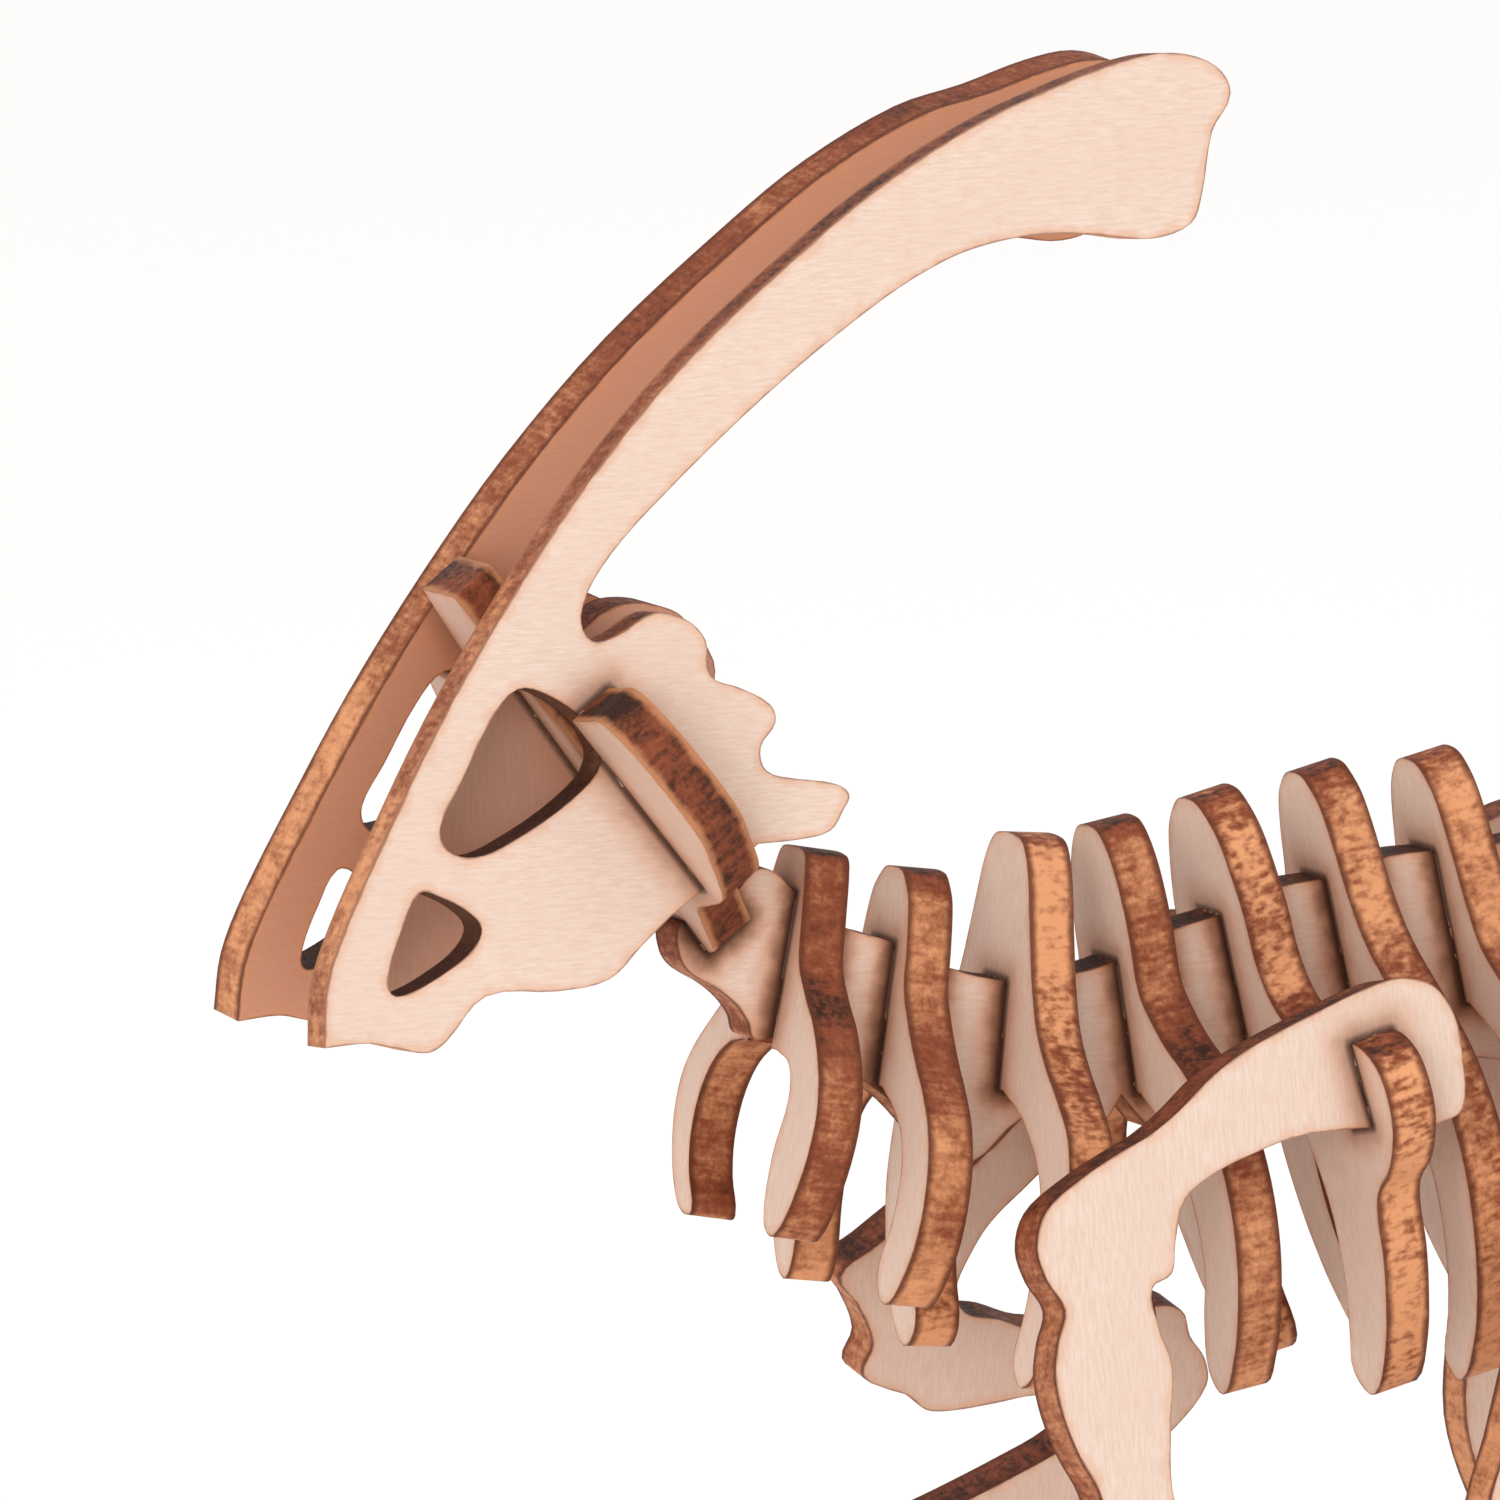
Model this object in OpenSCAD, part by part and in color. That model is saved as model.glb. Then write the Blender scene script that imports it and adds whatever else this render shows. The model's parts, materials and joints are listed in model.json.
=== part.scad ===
// Wooden 3D jigsaw: a crested dinosaur skeleton slotted together from laser-cut plywood plates.
// Millimetres, +Z up, head toward -X. Every piece is a flat plate; plates cross in half-lap slots.
// Heights are above the table. Stations run along X from the nape of the neck, plus toward the tail.

/* [Plywood] */
// Thickness of the plywood sheet
ply = 3; // [2.8:0.05:3.1]
// Play left on each side of a plate in a slot that pulls apart
slot_play = 0.1; // [0.05:0.05:0.25]

/* [Skull] */
// Distance from the middle of the skull to the middle of each skull side, at the cheek plate
skull_half_gap = 7.05; // [6.8:0.05:7.6]
// Angle by which each skull side opens outward toward the jaw
skull_splay = 7.5; // [5:0.5:9]
// Angle of the cheek plate away from upright
cheek_lean = 37; // [34:1:39]

/* [Limbs] */
// Angle by which the feet of the forelegs stand wider than their shoulders
foreleg_splay = 11; // [9:0.5:12]
// Distance from the middle of the body to the middle of each hind leg
hip_half_width = 16; // [15:0.5:17]

/* [Hidden] */
// Which piece to build
// Flats per stretch between two outline points
curve_steps = 4;
// Station of the middle of the whole model
mid_station = 66;
// Length of a cut that always reaches past the end of a plate
past = 60;
wood = "BurlyWood";

skull_pivot = [-6.7, 0, 77.6];
// The cheek plate's front face, and the depth at which it rests in the neck
cheek_front = -3.1;
cheek_seat = 8.6;
// Depth at which the skull sides rest in the cheek plate
skull_seat = -4;
// The skull core's tab goes through the cheek plate between these heights
tab_bottom = 2.5;
tab_top = 11.5;

// Foreleg plates: height and half width at which the outlines are measured, and the shoulder slot
limb_datum = 59.5;
shoulder_half_width = 14.4;
shoulder_rib = 5;
shoulder_seat = 59.6;

hip_station = 63;
hip_leg_seat = 62.5;
hip_spine_seat = 64;

// Tail: stations of its first and last cross plate and of its tip
tail_count = 7;
tail_first = 76;
tail_pitch = 11.5;
tail_tip = 163.6;

// ---- outlines: smooth through the given points, with a third value marking a sharp corner ----

function wrap(points, i) = points[(i + len(points)) % len(points)];
function spot(p) = [p[0], p[1]];
function unit(v) = v / norm(v);
function is_corner(p) = len(p) > 2;
function heading(points, i, chord) =
    is_corner(wrap(points, i))
    ? unit(chord)
    : unit(spot(wrap(points, i + 1)) - spot(wrap(points, i - 1)));
function blend(a, go, b, come, t) =
    (2 * t^3 - 3 * t^2 + 1) * a + (t^3 - 2 * t^2 + t) * go
    + (3 * t^2 - 2 * t^3) * b + (t^3 - t^2) * come;
function outline(points) = [
    for (i = [0 : len(points) - 1])
        let (
            a = spot(points[i]),
            b = spot(wrap(points, i + 1)),
            straight = is_corner(points[i]) && is_corner(wrap(points, i + 1)),
            go = norm(b - a) * heading(points, i, b - a),
            come = norm(b - a) * heading(points, i + 1, b - a)
        )
        for (k = [0 : straight ? 0 : curve_steps - 1])
            blend(a, go, b, come, k / curve_steps)
];

// A closed outline from its two halves: half width, depth below the datum, optional corner mark
function from_halves(right, left) = concat(
    [for (p = right) is_corner(p) ? [p[0], -p[1], 1] : [p[0], -p[1]]],
    [for (i = [len(left) - 1 : -1 : 0])
        let (p = left[i]) is_corner(p) ? [-p[0], -p[1], 1] : [-p[0], -p[1]]]
);
function mirrored(half) = from_halves(half, half);

// ---- plates ----

// A plate standing along the body, centred on its own middle plane
module side_plate(points, thickness = ply) {
    rotate([90, 0, 0])
        linear_extrude(thickness, center = true)
            polygon(outline(points));
}

// A plate standing across the body, its front face on X = 0
module cross_plate(points) {
    rotate([90, 0, 90])
        linear_extrude(ply)
            polygon(outline(points));
}

// The space a plate across the body needs in another plate, from a depth upward or downward
module cross_room(depth, up) {
    translate([-slot_play, -past / 2, up ? -depth : -depth - past])
        cube([ply + 2 * slot_play, past, past]);
}

// The space the spine needs in a plate across the body, from a depth upward or downward
module spine_room(depth, up) {
    width = ply + 2 * slot_play;
    translate([-ply, -width / 2, up ? -depth : -depth - past])
        cube([3 * ply, width, past]);
}

module on_table() {
    translate([-mid_station, 0, 0])
        children();
}

// ---- skull ----

skull_outline = [
    [-24.8, -12.2, 1], [-24.5, -8.8], [-23.2, -5.4], [-20.5, -0.3], [-16.6, 6.5], [-12, 13.3],
    [-6.7, 20.1], [-0.1, 26.9], [8.2, 33.5], [13.2, 36.9], [19.3, 40.1], [24, 41.9], [28.3, 43.2],
    [31.7, 43.6], [34.4, 42.7], [35.3, 41], [34, 38.8], [33.2, 35.2], [32.4, 33.4], [29.8, 32.6],
    [26.5, 33], [23.2, 33.2], [19.9, 32.9], [16.6, 32], [12.3, 29.8], [5, 24.8], [-3, 18.2],
    [-6.3, 14.8], [-7.6, 12.2], [-7, 10.7], [-5.4, 10.9], [-3, 12.1], [-1, 11.6], [0.2, 10.3],
    [0.4, 8.2], [2.2, 7.4], [4.1, 6.3], [4.4, 5.2], [3.4, 3.8], [3.7, 2.4], [5.6, 1.8], [7.9, 1.4],
    [8.9, 0.7], [8.5, -0.2], [7.6, -1.4], [5.6, -1.8], [3, -1.9, 1], [-2.7, -5.8, 1], [-4.6, -7.4], [-6.8, -9.3],
    [-10.1, -9.8], [-14.6, -9.8], [-17.2, -12.3], [-18.4, -12.9], [-20.3, -12.5], [-22, -12.1]
];

// The right side's crest ends a little lower than the left one's, from this station to its tip
crest_tip_start = 14;
crest_tip_drop = 1.1;
right_skull_outline = [
    for (p = skull_outline)
        let (reach = max(0, p[0] - crest_tip_start), drop = min(crest_tip_drop, reach^2 / 100))
            is_corner(p) ? p : [p[0], p[1] - drop]
];

eye_outline = [
    [-11.8, 8.1], [-9.8, 7.6], [-7.6, 5.9], [-6.7, 3.6], [-8.7, 1.4], [-12.7, -0.9],
    [-14.9, -1.6], [-16.6, -1.1], [-17, 0.3], [-15.6, 2.8], [-13.6, 6.3]
];

nostril_outline = [
    [-18.5, -3.5], [-17.2, -3.8], [-15.6, -4.7], [-14.7, -5.8], [-15.3, -7], [-16.8, -8.1],
    [-19.3, -9.3], [-20.5, -9.3], [-20.6, -8], [-19.7, -5.6]
];

// Local frame of the cheek plate: X through its thickness, Z up along it
module at_cheek() {
    translate(skull_pivot)
        rotate([0, -cheek_lean, 0])
            translate([cheek_front, 0, 0])
                children();
}

// Local frame of one skull side, upright before it opens outward
module at_skull_side(side) {
    translate(skull_pivot + [0, side * skull_half_gap, 0])
        rotate(a = side * skull_splay, v = [cos(cheek_lean), 0, sin(cheek_lean)])
            children();
}

module skull_side(side) {
    color(wood)
    on_table()
    difference() {
        at_skull_side(side)
            difference() {
                side_plate(side < 0 ? skull_outline : right_skull_outline);
                for (hole = [eye_outline, nostril_outline])
                    side_plate(hole, 2 * ply);
            }
        at_skull_side(side)
            rotate([0, -cheek_lean, 0])
                translate([cheek_front, -past / 2, -skull_seat - past])
                    cube([ply, past, past]);
    }
}

// The skull core fills the space between the skull sides, in front of the cheek plate
core_blade = [
    [-10.3, 8.5, 1], [-10.9, 8], [-12.4, 5.2], [-14, 2.2], [-16, -1.4], [-18.6, -6.6],
    [-20, -9.9], [-19.4, -11.5], [-17, -11.9], [-14.6, -11.5], [-12.6, -10.3], [-9.5, -9.4],
    [-6, -8.2], [-3.4, -7], [-1.5, -5.4], [-0.8, -4, 1]
];

// The skull core's rounded tab, from the cheek plate's front face to behind it
core_tab = [
    [0, tab_bottom, 1], [9.5, tab_bottom, 1], [11.1, 4.4], [11.1, 7.9], [10.4, 9.3],
    [9.4, 10.4], [8.2, 11.2], [7, tab_top, 1], [0, tab_top, 1]
];

// The opening the core's tab needs in the cheek plate
module tab_room() {
    width = ply + 2 * slot_play;
    translate([-ply, -width / 2, tab_bottom - slot_play])
        cube([3 * ply, width, tab_top - tab_bottom + 2 * slot_play]);
}

module skull_core() {
    color(wood)
    on_table()
    union() {
        difference() {
            translate(skull_pivot)
                side_plate(core_blade);
            at_cheek()
                translate([-slot_play, -past / 2, -past / 2])
                    cube(past);
        }
        at_cheek()
            translate([-2 * slot_play, 0, 0])
                side_plate(core_tab);
    }
}

cheek_half = [
    [2.2, -18.8, 1], [4, -9.5, 1], [9.6, -10.4, 1], [11.7, -10.7], [12.9, -9.7], [14, -7.2],
    [14.6, -3.8], [14.4, -1.6], [13.2, 0.4], [11, 3.3], [8, 4.4], [5.4, 5.2], [4.3, 6.6],
    [2.9, 9, 1], [1.2, 9.5, 1]
];

module cheek_plate() {
    color(wood)
    on_table()
    difference() {
        at_cheek()
            difference() {
                cross_plate(mirrored(cheek_half));
                spine_room(cheek_seat, false);
                tab_room();
            }
        for (side = [-1, 1])
            at_skull_side(side)
                rotate([0, -cheek_lean, 0])
                    translate([-past / 2, -ply / 2, -skull_seat])
                        cube([past, ply, past]);
    }
}

// ---- spine ----

// Height of the top and bottom of the tail at a station
function tail_top(x) = 60.6 + 9.4 * ((tail_tip - x) / 98)^1.2;
function tail_bottom(x) = 59.6 - 2 * sin(180 * (tail_tip - x) / 98);
function tail_station(i) = tail_first + (i - 1) * tail_pitch;

back_edge = [
    [-5.3, 68.1], [-5.5, 69.6], [-4.9, 70.4], [-3, 70.8], [-1.6, 71.8], [-0.3, 73], [0.8, 72.9],
    [2.4, 71.4], [5.7, 69.1],
    [8.6, 68.1], [12.8, 66.1], [16.6, 65.1], [20.9, 65.2], [24, 65.8], [27.8, 67.4], [31.5, 68.2],
    [35, 69.5], [39, 69.9], [42.7, 70.9], [48, 71], [54, 71.4], [60, 71.2]
];

belly_edge = [
    [68, 57.4], [60, 56.6], [52, 57.6], [44, 58.4], [36, 57.6], [30, 57], [26.2, 55.4, 1],
    [24.3, 57.6, 1], [23, 56], [20.5, 56.6], [17.4, 56.6], [14.3, 54.3], [12, 55.2], [9.2, 58],
    [6.7, 59.9], [3.8, 61.8], [0.9, 62.8], [-0.4, 62.8], [-0.8, 63.9], [-1.6, 65], [-2.8, 66],
    [-4, 66.7], [-4.8, 67.3]
];

spine_outline = concat(
    back_edge,
    [for (x = [70 : 12 : 150]) [x, tail_top(x)]],
    [[tail_tip - 2.5, 61.3], [tail_tip, 60.3], [tail_tip - 2.5, 59.5]],
    [for (x = [150 : -12 : 78]) [x, tail_bottom(x)]],
    belly_edge
);

module spine_plate() {
    color(wood)
    on_table()
    difference() {
        side_plate(spine_outline);
        at_cheek()
            cross_room(cheek_seat, true);
        for (i = [1 : len(rib_place)])
            at_rib(i)
                cross_room(rib_seat[i - 1], true);
        for (i = [1 : tail_count])
            at_tail_rib(i)
                cross_room(0, true);
        translate([hip_station, 0, hip_spine_seat])
            cross_room(0, false);
    }
}

// ---- ribs ----

// Station and height of each rib's datum on its front face, and its lean (foot toward the tail)
rib_place = [
    [2.6, 72.2, -11], [9.5, 71.1, -8.5], [17.2, 71.8, -5.5], [23, 71.9, 9], [29.9, 73.1, 13],
    [37.2, 74.3, 13], [44.8, 75.4, 12.5], [52.4, 75.6, 12.5]
];

// Depth below its datum at which each rib rests in the spine
rib_seat = [6, 7.8, 10.2, 9.8, 9.6, 9.4, 9.4, 9.4];

rib_half = [
    [[1.2, -1.8], [1.8, -1.2], [2.6, 2.2], [3.2, 4.7], [4.7, 6.5], [6.5, 8.2], [8.2, 10.9], [8.8, 13.8],
     [8, 17.6], [6, 20.9], [4.4, 20.2], [4.1, 16.3], [4.9, 12.8], [4.2, 10.8], [2.4, 10.2, 1]],
    [[0.9, -1.2], [1.6, -0.7], [2.4, 0.5], [3, 3.4], [3.3, 5.6], [4.4, 7.6], [5.9, 9.6], [7.4, 11.3],
     [8.7, 13.2], [9.5, 16], [9.3, 19.7], [8, 22.7], [6.2, 24.4], [4.8, 22.8], [5.8, 19.5],
     [6.1, 16.4], [5.4, 14.2], [4, 12.8], [2.2, 11.8, 1]],
    [[1.2, -2], [2.1, -1.5], [2.9, 0], [3.4, 1.8], [4.1, 4.5], [4.7, 6.6], [5.8, 9.2], [7.5, 11.3],
     [9.2, 12.9], [11, 15], [11.7, 17.9], [11.9, 21.4], [11.2, 25.2], [9.9, 28.5], [7.8, 30.5],
     [6.5, 29], [7.4, 26], [8, 23], [8.2, 19.6], [7.6, 17.5], [5.2, 14.8], [2.2, 13.3, 1]],
    [[0.9, -2], [1.7, -1.5], [2.5, -0.3], [3.1, 1.4], [3.6, 4.4], [3.8, 7.8], [4.8, 9.3], [6.3, 10.8],
     [8.9, 12.6], [10.9, 15.2], [12.1, 19], [12.1, 23.2], [10.9, 27.6], [9.6, 30.2], [7.7, 32.4],
     [6.2, 31.2], [6.5, 28], [7.5, 24.6], [7.2, 20.8], [5.6, 17], [2.2, 14.4, 1]],
    [[0.9, -2], [1.9, -1.4], [3.1, 0], [3.8, 1.7], [4.6, 4.9], [4.9, 7.8], [6, 10.2], [8.2, 11.7],
     [11.6, 11.6], [15.4, 11.2], [17, 11.4], [18.4, 12.4], [19, 14.2], [18.8, 16.3], [17.3, 18.9],
     [15.1, 20.8], [14.4, 22.6], [14.1, 25], [13.3, 27.8], [11.8, 31.3], [9, 34.7], [6.9, 33.6], [7.4, 31],
     [8.3, 27], [8.2, 22.2], [6.2, 17.4], [2.2, 14.6, 1]],
    [[0.8, -1.9], [1.6, -1.4], [2.6, -0.2], [3.3, 2], [3.9, 5], [4.9, 7.9], [6.2, 9.8], [8.5, 12.3],
     [10.9, 15.6], [12.2, 19.6], [12.2, 23.4], [11.5, 27], [10.5, 30], [8.9, 33.1], [6, 36.2],
     [4.5, 35], [5.9, 32.2], [7.3, 28.5], [7.9, 24], [7.3, 20], [5.6, 16.8], [2.2, 14.4, 1]],
    [[0.8, -1.1], [1.7, -0.6], [2.7, 0.8], [3.4, 3.2], [4.3, 7.8], [5.1, 10.2], [6.6, 11.8], [9, 14],
     [11, 17.2], [11.8, 21], [11.6, 25], [10.8, 28.6], [9.2, 31.8], [6.6, 34.4], [5, 33.4],
     [6.3, 30.4], [7.2, 26.6], [7.4, 22.8], [6.8, 19], [5.2, 16.2], [2.2, 14.2, 1]],
    [[0.8, -0.9], [1.6, -0.4], [2.5, 0.9], [3.2, 3.6], [4.1, 8], [5, 10.4], [6.4, 12], [8.3, 14.2], [9.8, 17],
     [10.4, 20.4], [10.1, 24], [9, 27.2], [6.8, 29.8], [5.3, 28.8], [6.1, 25.6], [6.4, 22],
     [6, 18.8], [4.8, 16.2], [2.2, 14.2, 1]]
];

// The right arms of three ribs are cut to their own outline
first_right_half = [
    [1.2, -1.8], [1.8, -1.2], [2.6, 2.2], [3.2, 4.7], [4.4, 6.9], [6, 8.8], [7.4, 10.3],
    [8.7, 12], [9.4, 13.8], [9.4, 16.1], [8.7, 18.4], [7.6, 20.3], [6.2, 21.4], [5, 21.1],
    [6.2, 18.9], [6.8, 16.7], [6.6, 14.2], [5.6, 12.1], [4, 10.7], [2.4, 10.2, 1]
];
second_right_half = [
    [0.9, -1.2], [1.6, -0.7], [2.4, 0.5], [3, 3.4], [3.3, 5.6], [4.4, 7.6], [5.9, 9.6],
    [7.4, 11.3], [8.9, 13.4], [9.8, 16.2], [9.8, 19.8], [9.1, 22.8], [7.2, 25], [6.3, 23.4],
    [6.6, 20], [6.4, 16.8], [5.5, 14.3], [4, 12.8], [2.2, 11.8, 1]
];
shoulder_right_half = [
    [0.9, -2], [1.9, -1.4], [3.1, 0], [3.8, 1.7], [4.6, 4.9], [4.9, 7.8], [6, 10.2], [8.2, 11.7],
    [11.6, 11.6], [15.4, 11.2], [17, 11.4], [18.4, 12.4], [19, 14.2], [18.8, 16.3],
    [17.3, 18.9], [15.1, 20.8], [14.4, 22.6], [14.1, 25], [13.2, 28], [11.4, 31.8],
    [8.4, 35.3], [6.2, 34.4], [7, 31.2], [8.1, 27], [8.2, 22.2], [6.2, 17.4], [2.2, 14.6, 1]
];

function rib_right_half(i) =
    i == 1 ? first_right_half
    : i == 2 ? second_right_half
    : i == shoulder_rib ? shoulder_right_half
    : rib_half[i - 1];

module at_rib(i) {
    place = rib_place[i - 1];
    translate([place[0], 0, place[1]])
        rotate([0, -place[2], 0])
            children();
}

module rib(i) {
    color(wood)
    on_table()
    difference() {
        at_rib(i)
            difference() {
                cross_plate(from_halves(rib_right_half(i), rib_half[i - 1]));
                spine_room(rib_seat[i - 1], false);
            }
        if (i == shoulder_rib)
            for (side = [-1, 1])
                at_foreleg(side)
                    translate([0, 0, shoulder_seat])
                        foreleg_room();
    }
}

// ---- forelegs ----

// Local frame of a foreleg plate: X along the body, Z up the plate from the table
module at_foreleg(side) {
    translate([0, side * shoulder_half_width, limb_datum])
        rotate([side * foreleg_splay, 0, 0])
            translate([0, 0, -limb_datum])
                children();
}

// The space a foreleg needs above its seat in the shoulder rib
module foreleg_room() {
    width = ply + 2 * slot_play;
    translate([0, -width / 2, 0])
        cube([past, width, past]);
}

scapula_head = [
    [31.3, 64.3], [34, 65.2], [36.2, 65.6], [38.4, 65], [39.7, 63.1], [40, 60.4], [39.7, 57.5],
    [38, 56.7, 1], [31.6, 56.9, 1]
];

standing_arm = concat(
    scapula_head,
    [[28.5, 56.7], [25.7, 56], [22.6, 54.9], [20.5, 53.5], [19.6, 51], [19.2, 49.2], [17.8, 48.4],
     [18, 46.2], [18.7, 43.7], [18.3, 40.4], [18, 36.4], [18.8, 32.4], [19.9, 29], [19.2, 25.6],
     [17.4, 21.4], [16.2, 16.6], [15.8, 12], [16.4, 8.4], [16.6, 4.8], [15.4, 2.2],
     [14.6, -0.8, 1], [6.4, -0.8, 1], [7.2, 2], [9.4, 5.4], [10.9, 9.6], [11.2, 14.4], [11.8, 19.4],
     [12.9, 24.4], [13.6, 29], [13.8, 33.2], [13.2, 36.6], [12.1, 38.8], [11.2, 41.4],
     [10.9, 43.8], [11.3, 45.8], [11.9, 47.6], [10.9, 49.4], [10.4, 51.4], [11.2, 53.5],
     [13.6, 55.2], [16.4, 56.6], [18.5, 57.5], [20.6, 58.8], [23.2, 60.8], [26, 62.3]]
);

folded_arm = concat(
    scapula_head,
    [[29.6, 52.8], [26.7, 49.7], [24.1, 47.2], [22.8, 45], [22.1, 42.8], [22.9, 41.3],
     [25.2, 40.7], [28, 39.7], [32, 39.6], [35.6, 40.6], [38, 40.2], [38.8, 38.4], [40, 36.8],
     [40.3, 35], [38.4, 32.4], [35, 29.6], [30.6, 27], [25.8, 24.8], [20.6, 22.8], [17, 20.4],
     [14.8, 16.6], [13, 12], [11.6, 8.4], [9.6, 7.6], [8.9, 9.4], [9.7, 12.8], [7.4, 11.6],
     [6, 12.8], [7.4, 15.6], [9.6, 19], [12, 22.6], [15.6, 25], [19.4, 26.9], [23.3, 28.4],
     [27.8, 30.3], [30.8, 31.8], [32.2, 33.4], [31.4, 34.8], [28.4, 35.4], [25.4, 35.1],
     [22.6, 34.9], [20.8, 35.1], [19.6, 36.1], [17.8, 36.8], [16.2, 37.8], [16.7, 39.8],
     [15.4, 42.5], [14, 44.4],
     [16.1, 46.1], [22.5, 51], [26.4, 55], [29.2, 60.6]]
);

module foreleg(side, points) {
    color(wood)
    on_table()
    difference() {
        at_foreleg(side)
            side_plate(points);
        intersection() {
            at_rib(shoulder_rib)
                cross_room(past / 2, true);
            at_foreleg(side)
                translate([0, -past / 2, shoulder_seat - past])
                    cube(past);
        }
    }
}

// ---- pelvis and hind legs ----

pelvis_half = [
    [2.4, -74.6, 1], [3.6, -73], [4.8, -69.6], [6.6, -67.2], [10.4, -66.6], [14.6, -67.6],
    [17.6, -67.4], [19.6, -65.2], [19.8, -61.6], [18.8, -58.6], [16.4, -57.2], [12, -56.6],
    [8.4, -54.6], [5.2, -52.8], [1.6, -52.4]
];

module pelvis_plate() {
    color(wood)
    on_table()
    translate([hip_station, 0, 0])
    difference() {
        cross_plate(mirrored(pelvis_half));
        translate([0, 0, hip_spine_seat])
            spine_room(0, true);
        for (side = [-1, 1])
            translate([0, side * hip_half_width, hip_leg_seat])
                spine_room(0, false);
    }
}

hip_head = [
    [56.4, 68.4], [60, 70.4], [64.6, 70.8], [69, 69.4], [71.6, 65.8], [71.8, 61]
];

// The left hind leg steps forward, the right one stands under the hips
leading_leg = concat(
    hip_head,
    [[69.4, 54.6], [65, 47.2], [60, 40.6], [56, 34.6], [54.6, 29], [55.6, 24.4], [58, 19.6],
     [59.2, 14.4], [58.8, 9.4], [57.8, 4.6], [58, 0, 1], [34.5, 0, 1], [35.6, 2.4], [39.4, 4.2],
     [44.4, 6.4], [48.6, 9.6], [50.4, 13.2], [49.4, 17], [46.4, 20.6], [42.8, 24.2],
     [40.6, 28.6], [41, 33.5], [42.2, 37.3], [43.2, 41.1], [45, 47.4], [47.6, 54], [51.4, 61.8]]
);

trailing_leg = concat(
    hip_head,
    [[70.6, 54], [69.6, 46.8], [69.2, 40], [69.4, 33.6], [70.8, 27.4], [72.6, 21], [73.4, 15],
     [72.6, 9.6], [71, 4.8], [71, 0, 1], [48, 0, 1], [49, 2.4], [52.8, 4.2], [57.8, 6.2],
     [62, 9.2], [64, 13], [63.4, 18], [61.2, 22.6], [58.6, 27], [57, 32], [57.2, 37.6],
     [57.8, 43.6], [57, 50], [55.4, 56.6], [54.6, 63]]
);

module hind_leg(side, points) {
    color(wood)
    on_table()
    translate([0, side * hip_half_width, 0])
    difference() {
        side_plate(points);
        translate([hip_station, 0, hip_leg_seat])
            cross_room(0, true);
    }
}

// ---- tail ribs ----

// How much of the first tail rib's size is left at tail rib i
function tail_size(i) = 1 - 0.09 * (i - 1);

module at_tail_rib(i) {
    x = tail_station(i);
    translate([x, 0, (tail_top(x) + tail_bottom(x)) / 2])
        rotate([0, -rib_place[7][2], 0])
            children();
}

function tail_half(size) = [
    [1.2, -9.4 * size, 1], [2.4, -7.4 * size], [2.9, -4 * size], [1.6 + 2.6 * size, -1.4 * size],
    [1.6 + 5.4 * size, 1.2 * size], [1.6 + 6.8 * size, 4.8 * size], [1.6 + 6.2 * size, 9.6 * size],
    [1.6 + 4 * size, 13 * size], [1.2 + 2.8 * size, 11.8 * size], [1.2 + 3.4 * size, 8.8 * size],
    [1.2 + 2.4 * size, 6.8 * size], [2.2, 6.2 * size, 1]
];

module tail_rib(i) {
    color(wood)
    on_table()
    at_tail_rib(i)
    difference() {
        cross_plate(mirrored(tail_half(tail_size(i))));
        spine_room(0, false);
    }
}

skull_side(-1);  // skull_side_left
skull_side(1);  // skull_side_right
skull_core();
cheek_plate();
spine_plate();
rib(1);  // rib_1
rib(2);  // rib_2
rib(3);  // rib_3
rib(4);  // rib_4
rib(5);  // shoulder_rib
rib(6);  // rib_6
rib(7);  // rib_7
rib(8);  // rib_8
pelvis_plate();
foreleg(-1, standing_arm);  // foreleg_left
foreleg(1, folded_arm);  // foreleg_right
hind_leg(-1, leading_leg);  // hind_leg_left
hind_leg(1, trailing_leg);  // hind_leg_right
tail_rib(1);  // tail_rib_1
tail_rib(2);  // tail_rib_2
tail_rib(3);  // tail_rib_3
tail_rib(4);  // tail_rib_4
tail_rib(5);  // tail_rib_5
tail_rib(6);  // tail_rib_6
tail_rib(7);  // tail_rib_7
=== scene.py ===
"""Looks of the slotted plywood dinosaur: every plate gets cut edges, veneer faces and a scorched rim."""

import json
import math
from collections import defaultdict

import bmesh
import bpy
import numpy as np
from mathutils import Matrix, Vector
from mathutils.bvhtree import BVHTree
from mathutils.geometry import delaunay_2d_cdt


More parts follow.
